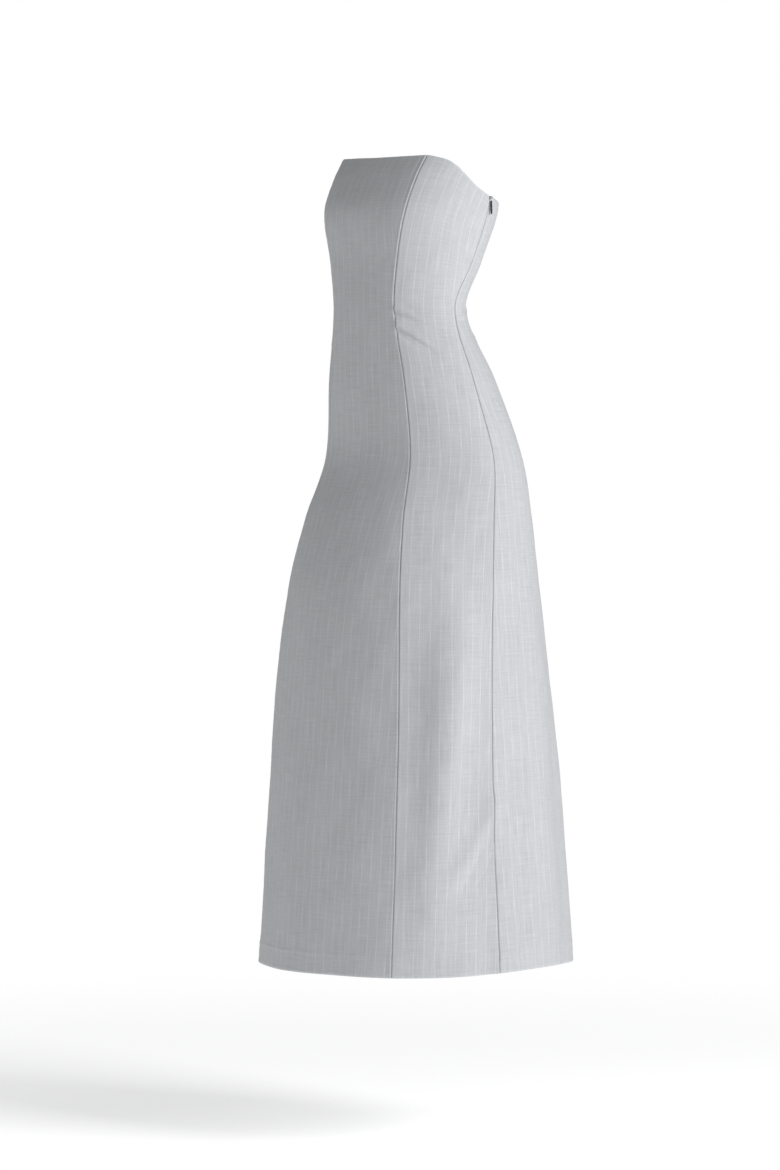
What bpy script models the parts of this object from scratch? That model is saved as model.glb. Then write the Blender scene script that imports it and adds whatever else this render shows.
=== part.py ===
"""Strapless A-line dress in grey suiting, in its hollow worn form.

The dress is cut from five cloth panels: a full-length front, a side front on each side of it, and a left
and a right back that meet at the centre back seam.
A closed zip lies behind the left side seam, with its slider at the top and a pull tab that hangs outside.

Metres, +Z up. The front faces -Y and the left side is +X. The origin is on the figure's axis at the
full bust, where the boned top band grips. Table heights and lengths are millimetres, angles are degrees
round the figure: 0 at the front centre, 90 at the left side, 180 at the back centre.
"""

import math
from collections import namedtuple

import bmesh
import bpy
from mathutils import Matrix, Vector

MM = 0.001

# Driving sizes of the cloth, in millimetres
TOP_EDGE = 80.0
LEVEL_BELOW_NECKLINE = -120.0
HEM_HEIGHT = -1111.0
HEM_TURN_UP = 30.0
CLOTH_THICKNESS = 1.6
HEM_THICKNESS = 2.4
SEAM_GAP = 0.34
ZIP_MOUTH_GAP = 5.0
CENTRE_BACK = 180.0

# Driving sizes of the zip, in millimetres
TAPE_WIDTH = 24.0
TAPE_TOP_ROW = 0.25
TAPE_SLOT_ROW = 1.85
TAPE_LAST_ROW = 17
TAPE_THICKNESS = 0.8
TAPE_SET_BACK = 0.6
TAPE_SLOT_MARGIN = 1.0
COIL_WIDTH = 3.2
COIL_THICKNESS = 1.2
SLIDER_WIDTH = 8.0
SLIDER_LENGTH = 11.0
SLIDER_DEPTH = 3.4
SLIDER_SET_BACK = 1.1
SLIDER_BELOW_TOP = 3.6
LUG_THICKNESS = 0.9
LUG_RADIUS = 1.8
LUG_HOLE = 2.0
LUG_REACH = 2.4
PULL_LENGTH = 25.0
PULL_THICKNESS = 0.9
PULL_TOP_WIDTH = 3.6
PULL_LOW_WIDTH = 4.2
PULL_WINDOW_WIDTH = 2.0
PULL_WINDOW_LENGTH = 4.4

# Mesh fineness
FRONT_COLUMNS = 14
SIDE_COLUMNS = 9
BACK_COLUMNS = 11

# The body's rings, from the top edge down. Flatness is how far a panel's middle lies inside the ellipse.
Ring = namedtuple(
    "Ring",
    "height half_width front_depth back_depth centre front_seam side_seam front_flat side_flat",
)
RINGS = (
    Ring(80, 136, 86, 100, 12, 43.5, 110, 13, 3),
    Ring(50, 138, 104, 108, 7, 42.5, 108, 17, 4),
    Ring(0, 140, 119, 118, 0, 40.5, 106, 18, 4),
    Ring(-75, 126, 102, 98, -10, 36, 103, 13, 4),
    Ring(-146, 117, 85, 80, -22, 35, 94, 8, 3),
    Ring(-250, 146, 104, 106, 0, 34.5, 87, 8, 3),
    Ring(-360, 171, 124, 126, 22, 32.5, 85, 8, 4),
    Ring(-450, 189, 153, 146, 15, 35, 83, 10, 5),
    Ring(-556, 205, 178, 165, 8, 38, 81, 11, 6),
    Ring(-795, 227, 204, 192, 8, 39.2, 77, 12, 7),
    Ring(-1111, 245, 229, 221, 11, 38, 78, 10, 6),
)

# The top edge's height round the figure, the same on both sides
EdgePoint = namedtuple("EdgePoint", "angle height")
NECKLINE = (
    EdgePoint(0, 79),
    EdgePoint(43, 80),
    EdgePoint(50, 78),
    EdgePoint(61, 73),
    EdgePoint(71, 64),
    EdgePoint(81, 51),
    EdgePoint(92, 35),
    EdgePoint(103, 24),
    EdgePoint(110, 20),
    EdgePoint(134, 13),
    EdgePoint(180, 10),
)

# The skirt's largest soft folds: a ridge has a positive height and a trough a negative one
Fold = namedtuple("Fold", "start start_angle hem_angle half_width height hem_height")
FOLDS = (
    Fold(-390, 62, 52, 15, 17, 4),
    Fold(-420, 61, 50, 7, 8, 2),
    Fold(-760, 74, 73, 6, -4, -5),
    Fold(-520, -8, -11, 11, 4, 5),
    Fold(-600, 12, 14, 10, -3, -3),
    Fold(-560, -66, -58, 10, 9, 6),
    Fold(-640, -46, -45, 8, -4, -4),
    Fold(-430, 104, 101, 12, 5, 5),
    Fold(-520, 126, 124, 10, -6, -6),
    Fold(-400, 148, 151, 12, 9, 7),
    Fold(-560, 173, 175, 10, -5, -6),
    Fold(-450, 197, 195, 11, 7, 5),
    Fold(-600, 221, 218, 10, -6, -7),
    Fold(-480, 244, 247, 12, 8, 6),
    Fold(-680, 266, 268, 9, -4, -4),
)
FOLD_FADE = 420.0

# Where the hem lifts a little above its level line, and how far
HemRise = namedtuple("HemRise", "angle half_width height")
HEM_RISES = (
    HemRise(0, 34, -1.5),
    HemRise(102, 28, 9),
    HemRise(180, 36, 4),
    HemRise(-112, 30, 5),
)

# Bands of level rows, from the top edge to the hem
Band = namedtuple("Band", "upper lower rows")
BANDS = (
    Band(TOP_EDGE, 70, 1),
    Band(70, -190, 13),
    Band(-190, -430, 6),
    Band(-430, HEM_HEIGHT + HEM_TURN_UP, 10),
    Band(HEM_HEIGHT + HEM_TURN_UP, HEM_HEIGHT, 1),
)


def clear_scene():
    for item in list(bpy.data.objects):
        bpy.data.objects.remove(item, do_unlink=True)


def principled(name, colour, roughness, metallic):
    material = bpy.data.materials.new(name)
    material.use_nodes = True
    shader = material.node_tree.nodes["Principled BSDF"]
    shader.inputs["Base Color"].default_value = (*colour, 1.0)
    shader.inputs["Roughness"].default_value = roughness
    shader.inputs["Metallic"].default_value = metallic
    return material


def suiting_material(name):
    return principled(name, (0.52, 0.53, 0.54), 0.82, 0.0)


def tape_material():
    return principled("zip_tape", (0.42, 0.43, 0.45), 0.85, 0.0)


def metal_material(name):
    return principled(name, (0.05, 0.05, 0.055), 0.38, 1.0)


def smooth_curve(rows, key, column, place):
    """Reads one column of a table at a place between its rows, on a smooth curve."""
    points = sorted((getattr(row, key), getattr(row, column)) for row in rows)
    place = min(max(place, points[0][0]), points[-1][0])
    index = 0
    while index < len(points) - 2 and place > points[index + 1][0]:
        index += 1
    slopes = []
    for end in (index, index + 1):
        low = points[max(end - 1, 0)]
        high = points[min(end + 1, len(points) - 1)]
        slopes.append((high[1] - low[1]) / (high[0] - low[0]))
    (x0, y0), (x1, y1) = points[index], points[index + 1]
    span = x1 - x0
    u = (place - x0) / span
    return (
        y0 * (1 + 2 * u) * (1 - u) ** 2
        + slopes[0] * span * u * (1 - u) ** 2
        + y1 * u * u * (3 - 2 * u)
        + slopes[1] * span * u * u * (u - 1)
    )


def ring_at(height):
    columns = [smooth_curve(RINGS, "height", name, height) for name in Ring._fields[1:]]
    return Ring(height, *columns)


def turned(angle):
    """The same angle between -180 and 180."""
    return (angle + 180.0) % 360.0 - 180.0


def panel_flatness(ring, angle):
    """How far the cloth lies inside the ellipse: nothing at a seam, most at the middle of a panel."""
    side = abs(turned(angle))
    if side < ring.front_seam:
        return ring.front_flat * math.cos(0.5 * math.pi * side / ring.front_seam)
    if side < ring.side_seam:
        share = (side - ring.front_seam) / (ring.side_seam - ring.front_seam)
        return ring.side_flat * math.sin(math.pi * share)
    return 0.0


def fold_offset(height, angle):
    """The height of the skirt's soft ridges and troughs at a point."""
    total = 0.0
    for fold in FOLDS:
        if height >= fold.start:
            continue
        drop = (fold.start - height) / (fold.start - HEM_HEIGHT)
        centre = fold.start_angle + (fold.hem_angle - fold.start_angle) * min(drop, 1.0)
        grown = min((fold.start - height) / FOLD_FADE, 1.0)
        grown = grown * grown * (3.0 - 2.0 * grown)
        away = turned(angle - centre) / fold.half_width
        height_here = fold.height + (fold.hem_height - fold.height) * min(drop, 1.0) ** 2
        total += height_here * grown * math.exp(-away * away)
    return total


def row_height(level, angle):
    """A level row bent to follow the neckline above the waist and the lifted hem below it."""
    if level > LEVEL_BELOW_NECKLINE:
        edge = smooth_curve(NECKLINE, "angle", "height", abs(turned(angle)))
        share = (level - LEVEL_BELOW_NECKLINE) / (TOP_EDGE - LEVEL_BELOW_NECKLINE)
        return level + (edge - TOP_EDGE) * share
    share = (LEVEL_BELOW_NECKLINE - level) / (LEVEL_BELOW_NECKLINE - HEM_HEIGHT)
    rise = sum(
        spot.height * math.exp(-(turned(angle - spot.angle) / spot.half_width) ** 2) for spot in HEM_RISES
    )
    return level + rise * share * share


def cloth_point(level, angle):
    """A point of the cloth's outer face, in metres."""
    height = row_height(level, angle)
    ring = ring_at(height)
    turn = math.radians(angle)
    depth = ring.front_depth if math.cos(turn) > 0.0 else ring.back_depth
    outward = Vector((math.sin(turn) / ring.half_width, -math.cos(turn) / depth, 0.0)).normalized()
    base = Vector((ring.half_width * math.sin(turn), ring.centre - depth * math.cos(turn), height))
    offset = fold_offset(height, angle) - panel_flatness(ring, angle)
    return (base + outward * offset) * MM


def cloth_frame(level, angle):
    """The tangent round the figure and the outward normal at a point of the cloth."""
    across = cloth_point(level, angle + 1.5) - cloth_point(level, angle - 1.5)
    down = cloth_point(level - 3.0, angle) - cloth_point(min(level + 3.0, TOP_EDGE), angle)
    return across.normalized(), down.cross(across).normalized()


def row_levels():
    levels = [BANDS[0].upper]
    for band in BANDS:
        step = (band.lower - band.upper) / band.rows
        levels += [band.upper + step * (row + 1) for row in range(band.rows)]
    return levels


def seam_angle(level, seam, side):
    """The angle of a seam, found on the row that bends with the edge."""
    if seam == "centre_back":
        return CENTRE_BACK
    angle = getattr(ring_at(level), seam)
    for _ in range(3):
        angle = getattr(ring_at(row_height(level, side * angle)), seam)
    return side * angle


def wall_thickness(level):
    """The cloth is doubled where the hem is turned up."""
    return HEM_THICKNESS if level <= HEM_HEIGHT + HEM_TURN_UP else CLOTH_THICKNESS


def edge_gap(level, at_zip):
    """Half the gap beside a seam. The zip's mouth opens in a small V at the top edge."""
    gap = ZIP_MOUTH_GAP if at_zip and level == TOP_EDGE else SEAM_GAP
    return 0.5 * gap * MM


def panel_row(level, start, end, columns, zips):
    """Outer and inner points of one row of a panel, between two seams."""
    outer, inner = [], []
    for column in range(columns + 1):
        angle = start + (end - start) * column / columns
        point = cloth_point(level, angle)
        tangent, normal = cloth_frame(level, angle)
        if column == 0:
            point += tangent * edge_gap(level, zips[0])
        if column == columns:
            point -= tangent * edge_gap(level, zips[1])
        outer.append(point)
        inner.append(point - normal * wall_thickness(level) * MM)
    return outer, inner


def wall_from_rows(rows):
    """A closed wall from rows of outer and inner points, from the top row down."""
    mesh = bmesh.new()
    outer = [[mesh.verts.new(point) for point in row[0]] for row in rows]
    inner = [[mesh.verts.new(point) for point in row[1]] for row in rows]
    last_row = len(rows) - 1
    last_column = len(outer[0]) - 1
    for row in range(last_row):
        for column in range(last_column):
            a, b = outer[row][column], outer[row][column + 1]
            c, d = outer[row + 1][column + 1], outer[row + 1][column]
            mesh.faces.new((a, d, c, b))
            a, b = inner[row][column], inner[row][column + 1]
            c, d = inner[row + 1][column + 1], inner[row + 1][column]
            mesh.faces.new((a, b, c, d))
    for column in range(last_column):
        mesh.faces.new((outer[0][column], outer[0][column + 1], inner[0][column + 1], inner[0][column]))
        low_outer, low_inner = outer[last_row], inner[last_row]
        mesh.faces.new((low_outer[column + 1], low_outer[column], low_inner[column], low_inner[column + 1]))
    for row in range(last_row):
        mesh.faces.new((outer[row][0], inner[row][0], inner[row + 1][0], outer[row + 1][0]))
        far = last_column
        mesh.faces.new((outer[row + 1][far], inner[row + 1][far], inner[row][far], outer[row][far]))
    bmesh.ops.recalc_face_normals(mesh, faces=mesh.faces)
    return mesh


def object_from_mesh(name, mesh, material):
    data = bpy.data.meshes.new(name)
    mesh.to_mesh(data)
    mesh.free()
    data.materials.append(material)
    data.shade_smooth()
    data.set_sharp_from_angle(angle=math.radians(35))
    item = bpy.data.objects.new(name, data)
    bpy.context.scene.collection.objects.link(item)
    return item


def cloth_panel(name, first_seam, last_seam, columns, zips=(False, False)):
    """A panel between two seams, each given as a seam's name and its side, +1 left and -1 right."""
    rows = []
    for level in row_levels():
        start = seam_angle(level, *first_seam)
        end = seam_angle(level, *last_seam)
        if end < start:
            end += 360.0
        rows.append(panel_row(level, start, end, columns, zips))
    object_from_mesh(name, wall_from_rows(rows), suiting_material(name))
    return rows


def build_cloth():
    """The five panels. The rows of the two that meet at the zip are handed on to it."""
    cloth_panel("front_centre", ("front_seam", -1), ("front_seam", 1), FRONT_COLUMNS)
    cloth_panel("side_front_right", ("side_seam", -1), ("front_seam", -1), SIDE_COLUMNS)
    left = cloth_panel("side_front_left", ("front_seam", 1), ("side_seam", 1), SIDE_COLUMNS, (False, True))
    cloth_panel("back_right", ("centre_back", 1), ("side_seam", -1), BACK_COLUMNS)
    back = cloth_panel("back_left", ("side_seam", 1), ("centre_back", 1), BACK_COLUMNS, (True, False))
    return left, back


def behind_facet(rows, row, seam_column, next_column, across, depth):
    """A point across millimetres from a panel's seam and depth behind its outer facets."""
    ends = []
    for index in (int(row), int(row) + 1):
        outer, inner = rows[index]
        seam, beside = outer[seam_column], outer[next_column]
        share = across * MM / (beside - seam).length
        inward = (inner[seam_column] - seam).lerp(inner[next_column] - beside, share).normalized()
        ends.append(seam.lerp(beside, share) + inward * depth * MM)
    return ends[0].lerp(ends[1], row - int(row))


def tape_point(left, back, row, across, depth):
    """A point behind the left side seam: forward of it across is negative."""
    if across < 0.0:
        return behind_facet(left, row, -1, -2, -across, depth)
    return behind_facet(back, row, 0, 1, across, depth)


def build_zip_tape(left, back):
    """Two tapes and their closed coil as one strip, just inside the cloth and open round the slider."""
    places_down = [TAPE_TOP_ROW, TAPE_SLOT_ROW] + list(range(2, TAPE_LAST_ROW + 1))
    half, coil = 0.5 * TAPE_WIDTH, 0.5 * COIL_WIDTH
    slot = 0.5 * SLIDER_WIDTH + TAPE_SLOT_MARGIN
    face = CLOTH_THICKNESS + TAPE_SET_BACK
    places = (-half, -slot, -coil, coil, slot, half)
    mesh = bmesh.new()
    front, rear = [], []
    for down in places_down:
        front.append([mesh.verts.new(tape_point(left, back, down, place, face)) for place in places])
        row = []
        for place in places:
            extra = COIL_THICKNESS if abs(place) <= coil and down > TAPE_SLOT_ROW else 0.0
            depth = face + TAPE_THICKNESS + extra
            row.append(mesh.verts.new(tape_point(left, back, down, place, depth)))
        rear.append(row)
    kept = [
        (row, column)
        for row in range(len(places_down) - 1)
        for column in range(len(places) - 1)
        if row > 0 or column in (0, len(places) - 2)
    ]
    for row, column in kept:
        for grid, flip in ((front, False), (rear, True)):
            corners = [grid[row][column], grid[row + 1][column]]
            corners += [grid[row + 1][column + 1], grid[row][column + 1]]
            mesh.faces.new(reversed(corners) if flip else corners)
        sides = (
            ((row, column - 1), (row, column), (row + 1, column)),
            ((row, column + 1), (row + 1, column + 1), (row, column + 1)),
            ((row - 1, column), (row, column + 1), (row, column)),
            ((row + 1, column), (row + 1, column), (row + 1, column + 1)),
        )
        for neighbour, start, end in sides:
            if neighbour in kept:
                continue
            (r0, c0), (r1, c1) = start, end
            mesh.faces.new((front[r1][c1], front[r0][c0], rear[r0][c0], rear[r1][c1]))
    loose = [vert for vert in mesh.verts if not vert.link_faces]
    bmesh.ops.delete(mesh, geom=loose, context="VERTS")
    bmesh.ops.recalc_face_normals(mesh, faces=mesh.faces)
    object_from_mesh("zip_tape", mesh, tape_material())


def zip_place(tilted):
    """The place of the pull's hinge pin: X runs out of the cloth, Y round the figure and Z up.

    The slider is tilted with the cloth, and the pull hangs plumb from the same pin.
    """
    level = TOP_EDGE - SLIDER_BELOW_TOP
    angle = seam_angle(level, "side_seam", 1)
    point = cloth_point(level, angle)
    _, normal = cloth_frame(level, angle)
    turn = Matrix.Rotation(math.atan2(normal.y, normal.x), 4, "Z")
    tilt = Matrix.Rotation(math.asin(-normal.z) if tilted else 0.0, 4, "Y")
    return Matrix.Translation(point + normal * LUG_REACH * MM) @ turn @ tilt


def box_mesh(low, high, bevel):
    """A box between two corners in millimetres, with rounded edges."""
    mesh = bmesh.new()
    bmesh.ops.create_cube(mesh, size=1.0)
    for vert in mesh.verts:
        for axis in range(3):
            vert.co[axis] = (low[axis] if vert.co[axis] < 0.0 else high[axis]) * MM
    if bevel:
        bmesh.ops.bevel(mesh, geom=list(mesh.edges), offset=bevel * MM, segments=2, affect="EDGES", profile=0.5)
    return mesh


def lug_mesh():
    """A thin upright plate from the slider out through the zip's mouth, with the pin's hole near its end."""
    inner = -(LUG_REACH + CLOTH_THICKNESS + SLIDER_SET_BACK + 1.6)
    half_hole = 0.5 * LUG_HOLE
    outline = [(inner, LUG_RADIUS), (inner, -LUG_RADIUS)]
    outline += [
        (LUG_RADIUS * math.cos(math.radians(turn)), LUG_RADIUS * math.sin(math.radians(turn)))
        for turn in range(-90, 91, 30)
    ]
    hole = [
        (half_hole * math.cos(math.radians(turn)), half_hole * math.sin(math.radians(turn)))
        for turn in range(0, 360, 45)
    ]
    mesh = bmesh.new()
    edges = []
    for loop in (outline, hole):
        verts = [mesh.verts.new((x * MM, -0.5 * LUG_THICKNESS * MM, z * MM)) for x, z in loop]
        edges += [mesh.edges.new((verts[i], verts[(i + 1) % len(verts)])) for i in range(len(verts))]
    bmesh.ops.triangle_fill(mesh, use_beauty=True, use_dissolve=False, edges=edges)
    grown = bmesh.ops.extrude_face_region(mesh, geom=list(mesh.faces))
    moved = [item for item in grown["geom"] if isinstance(item, bmesh.types.BMVert)]
    bmesh.ops.translate(mesh, verts=moved, vec=(0.0, LUG_THICKNESS * MM, 0.0))
    bmesh.ops.recalc_face_normals(mesh, faces=mesh.faces)
    return mesh


def build_zip_slider():
    """The slider's body behind the seam, joined to the lug that carries the pull outside."""
    metal = metal_material("zip_slider")
    face = -(LUG_REACH + CLOTH_THICKNESS + SLIDER_SET_BACK)
    low = (face - SLIDER_DEPTH, -0.5 * SLIDER_WIDTH, LUG_RADIUS - SLIDER_LENGTH)
    high = (face, 0.5 * SLIDER_WIDTH, LUG_RADIUS)
    slider = object_from_mesh("zip_slider", box_mesh(low, high, 0.9), metal)
    lug = object_from_mesh("zip_lug_guide", lug_mesh(), metal)
    for item in (slider, lug):
        item.matrix_world = zip_place(tilted=True)
    lug.hide_render = True
    lug.display_type = "WIRE"
    join = slider.modifiers.new("lug", "BOOLEAN")
    join.operation = "UNION"
    join.solver = "EXACT"
    join.object = lug


def build_zip_pull():
    """A slim tab that hangs from its own top bar, which passes through the slider's lug."""
    top, low = 0.5 * PULL_THICKNESS, 0.5 * PULL_THICKNESS - PULL_LENGTH
    window_end = top - PULL_THICKNESS - PULL_WINDOW_LENGTH
    outline = [
        (-0.5 * PULL_TOP_WIDTH, top),
        (-0.5 * PULL_TOP_WIDTH, window_end - 1.0),
        (-0.35 * PULL_TOP_WIDTH, window_end - 3.0),
        (-0.5 * PULL_LOW_WIDTH, low + 3.5),
        (-0.5 * PULL_LOW_WIDTH, low + 1.0),
        (-0.3 * PULL_LOW_WIDTH, low),
    ]
    outline += [(-y, z) for y, z in reversed(outline)]
    half = 0.5 * PULL_WINDOW_WIDTH
    window = [(-half, top - PULL_THICKNESS), (half, top - PULL_THICKNESS), (half, window_end), (-half, window_end)]
    mesh = bmesh.new()
    edges = []
    for loop in (outline, window):
        verts = [mesh.verts.new((-0.5 * PULL_THICKNESS * MM, y * MM, z * MM)) for y, z in loop]
        edges += [mesh.edges.new((verts[i], verts[(i + 1) % len(verts)])) for i in range(len(verts))]
    bmesh.ops.triangle_fill(mesh, use_beauty=True, use_dissolve=False, edges=edges)
    grown = bmesh.ops.extrude_face_region(mesh, geom=list(mesh.faces))
    moved = [item for item in grown["geom"] if isinstance(item, bmesh.types.BMVert)]
    bmesh.ops.translate(mesh, verts=moved, vec=(PULL_THICKNESS * MM, 0.0, 0.0))
    bmesh.ops.recalc_face_normals(mesh, faces=mesh.faces)
    pull = object_from_mesh("zip_pull", mesh, metal_material("zip_pull"))
    pull.matrix_world = zip_place(tilted=False)


def build_dress():
    clear_scene()
    left, back = build_cloth()
    build_zip_tape(left, back)
    build_zip_slider()
    build_zip_pull()


build_dress()
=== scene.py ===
"""Looks of a strapless A-line dress in grey pinstriped suiting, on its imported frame.

Laid out as a Blender add-on. Metres, +Z up, the front faces -Y and the dress's left side is +X. The tables
and the functions that read them use millimetres and degrees round the figure: 0 at the front centre, 90 at
the left side and 180 at the back centre, the same as the part's own source.
"""

import math
from collections import namedtuple

import bpy
import numpy as np
from mathutils import Matrix, Vector


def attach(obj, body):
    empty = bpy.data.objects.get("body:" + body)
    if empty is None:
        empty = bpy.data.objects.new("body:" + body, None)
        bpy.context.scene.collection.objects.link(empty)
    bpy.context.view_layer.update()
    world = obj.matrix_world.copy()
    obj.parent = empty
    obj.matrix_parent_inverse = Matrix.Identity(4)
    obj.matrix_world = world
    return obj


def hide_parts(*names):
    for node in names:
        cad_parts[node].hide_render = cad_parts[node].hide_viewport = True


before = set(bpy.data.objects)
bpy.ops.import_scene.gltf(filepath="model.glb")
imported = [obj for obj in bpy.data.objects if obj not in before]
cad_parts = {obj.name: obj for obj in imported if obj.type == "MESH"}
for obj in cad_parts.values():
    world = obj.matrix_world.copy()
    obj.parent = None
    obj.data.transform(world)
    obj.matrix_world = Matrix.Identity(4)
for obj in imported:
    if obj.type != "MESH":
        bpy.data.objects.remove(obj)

bl_info = {
    "name": "Pinstriped strapless dress",
    "version": (1, 0, 0),
    "blender": (4, 5, 0),
    "location": "View3D > Sidebar > Dress",
    "description": "Builds the cloth panels, the zip and the studio round the dress's frame",
    "category": "Object",
}

MM = 0.001

# The dress's own sizes, as in its part, in millimetres
TOP_EDGE = 80.0
LEVEL_BELOW_NECKLINE = -120.0
HEM_HEIGHT = -1111.0
HEM_TURN_UP = 30.0
SEAM_GAP = 0.34
ZIP_MOUTH_GAP = 5.0
ZIP_MOUTH_END = 70.0
CLOTH_WALL = 1.6
SLIDER_BELOW_TOP = 3.6
SLIDER_SET_BACK = 1.1
LUG_REACH = 2.4
ZIP_END = -237.0
FOLD_FADE = 420.0

# What only the looks have: how the cloth is turned in and pressed, and where it starts to hang free
TOP_TURN_IN = 32.0
EXTRA_LAYER = 0.7
CREASE_FADE = 0.45
WAVES_START = -260.0
WAVES_FULL = -560.0
COIL_TOP = 60.0
COIL_PITCH = 1.9
COIL_BEHIND = 3.65

Ring = namedtuple(
    "Ring",
    "height half_width front_depth back_depth centre front_seam side_seam front_flat side_flat",
)
RINGS = (
    Ring(80, 136, 86, 100, 12, 43.5, 110, 13, 3),
    Ring(50, 138, 104, 108, 7, 42.5, 108, 17, 4),
    Ring(0, 140, 119, 118, 0, 40.5, 106, 18, 4),
    Ring(-75, 126, 102, 98, -10, 36, 103, 13, 4),
    Ring(-146, 117, 85, 80, -22, 35, 94, 8, 3),
    Ring(-250, 146, 104, 106, 0, 34.5, 87, 8, 3),
    Ring(-360, 171, 124, 126, 22, 32.5, 85, 8, 4),
    Ring(-450, 189, 153, 146, 15, 35, 83, 10, 5),
    Ring(-556, 205, 178, 165, 8, 38, 81, 11, 6),
    Ring(-795, 227, 204, 192, 8, 39.2, 77, 12, 7),
    Ring(-1111, 245, 229, 221, 11, 38, 78, 10, 6),
)

EdgePoint = namedtuple("EdgePoint", "angle height")
NECKLINE = (
    EdgePoint(0, 79),
    EdgePoint(43, 80),
    EdgePoint(50, 78),
    EdgePoint(61, 73),
    EdgePoint(71, 64),
    EdgePoint(81, 51),
    EdgePoint(92, 35),
    EdgePoint(103, 24),
    EdgePoint(110, 20),
    EdgePoint(134, 13),
    EdgePoint(180, 10),
)

Fold = namedtuple("Fold", "start start_angle hem_angle half_width height hem_height")
FOLDS = (
    Fold(-390, 62, 52, 15, 17, 4),
    Fold(-420, 61, 50, 7, 8, 2),
    Fold(-760, 74, 73, 6, -4, -5),
    Fold(-520, -8, -11, 11, 4, 5),
    Fold(-600, 12, 14, 10, -3, -3),
    Fold(-560, -66, -58, 10, 9, 6),
    Fold(-640, -46, -45, 8, -4, -4),
    Fold(-430, 104, 101, 12, 5, 5),
    Fold(-520, 126, 124, 10, -6, -6),
    Fold(-400, 148, 151, 12, 9, 7),
    Fold(-560, 173, 175, 10, -5, -6),
    Fold(-450, 197, 195, 11, 7, 5),
    Fold(-600, 221, 218, 10, -6, -7),
    Fold(-480, 244, 247, 12, 8, 6),
    Fold(-680, 266, 268, 9, -4, -4),
)

HemRise = namedtuple("HemRise", "angle half_width height")
HEM_RISES = (
    HemRise(0, 34, -1.5),
    HemRise(102, 28, 9),
    HemRise(180, 36, 4),
    HemRise(-112, 30, 5),
)

# Creases and a long soft ridge that only the cloth's looks have. An anchored one begins at full depth, at a
# seam. A positive height is a ridge and a negative one a trough, in millimetres like the half width.
Crease = namedtuple("Crease", "angle level end_angle end_level half_width height anchored")
CREASES = (
    Crease(40, -137, 58, -153, 4.0, -1.0, False),
    Crease(36, -144, 80, -175, 4.5, 1.7, True),
    Crease(36, -152, 57, -169, 4.0, -1.7, True),
    Crease(51, -166, 91, -192, 4.5, -2.0, False),
    Crease(37, -169, 66, -207, 6.0, 2.3, True),
    Crease(37, -178, 68, -218, 6.5, -2.4, True),
    Crease(56, -247, 80, -273, 7.0, -1.2, False),
    Crease(66, -252, 90, -278, 6.0, 1.0, False),
    Crease(30, -150, 41, -160, 3.0, -1.3, False),
    Crease(122, -137, 104, -145, 6.0, -2.0, False),
    Crease(120, -147, 96, -158, 4.5, 1.2, False),
    Crease(112, -158, 92, -168, 4.0, -1.0, False),
    Crease(19, 54, -1, -14, 9.0, 0.6, False),
    Crease(28, 24, 4, -44, 9.0, -0.6, False),
    Crease(25, -16, -14, -98, 9.0, 0.7, False),
    Crease(33, -44, 2, -114, 9.0, -0.6, False),
    Crease(-26, 4, 6, -72, 9.0, -0.5, False),
    Crease(80, 10, 48, -44, 10.0, -0.8, False),
    Crease(96, -14, 60, -70, 9.0, 0.7, False),
    Crease(71, -470, 50, -1040, 24.0, 8.0, False),
    Crease(67, -560, 56, -930, 11.0, 1.8, False),
    Crease(90, -500, 88, -1080, 10.0, -4.2, False),
    Crease(77, -852, 70, -876, 8.0, 1.4, True),
    Crease(78, -866, 55, -1004, 13.0, 4.6, True),
    Crease(78, -905, 62, -1010, 11.0, -3.2, False),
    Crease(77.5, -868, 85, -896, 7.0, -1.3, True),
    Crease(-47, -146, -66, -160, 5.0, -1.3, False),
    Crease(-46, -156, -76, -172, 4.5, 1.0, False),
    Crease(-50, -168, -80, -190, 4.5, -1.5, False),
    Crease(-48, -184, -68, -216, 6.0, 1.4, False),
    Crease(-54, -196, -72, -226, 5.0, -1.3, False),
    Crease(-84, 8, -52, -50, 10.0, -0.7, False),
    Crease(-116, -134, -92, -147, 5.0, -1.3, False),
    Crease(-119, -147, -88, -158, 4.5, 1.2, False),
    Crease(146, -128, 124, -136, 6.0, -1.6, True),
    Crease(148, -140, 122, -150, 5.0, 1.5, True),
    Crease(150, -152, 124, -170, 5.5, -1.4, True),
    Crease(147, -170, 124, -196, 7.0, 1.2, False),
    Crease(176, -126, 154, -139, 6.0, -1.2, False),
    Crease(174, -146, 155, -151, 5.0, 1.0, False),
    Crease(-147, -130, -121, -143, 6.0, -1.5, True),
    Crease(-149, -145, -114, -156, 5.0, 1.3, True),
    Crease(-148, -158, -128, -182, 6.0, -1.4, True),
    Crease(-176, -134, -153, -142, 6.0, -1.0, False),
    Crease(178, -196, 162, -238, 9.0, -1.0, False),
    Crease(-172, -206, -158, -252, 9.0, 0.9, False),
)

# The slow unevenness of hanging cloth: waves round the figure that drift as they fall
Wave = namedtuple("Wave", "turns drift phase height")
WAVES = (
    Wave(7, 0.0031, 0.6, 0.55),
    Wave(11, -0.0047, 2.1, 0.42),
    Wave(17, 0.0062, 4.4, 0.30),
    Wave(29, -0.0123, 1.2, 0.16),
)

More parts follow.
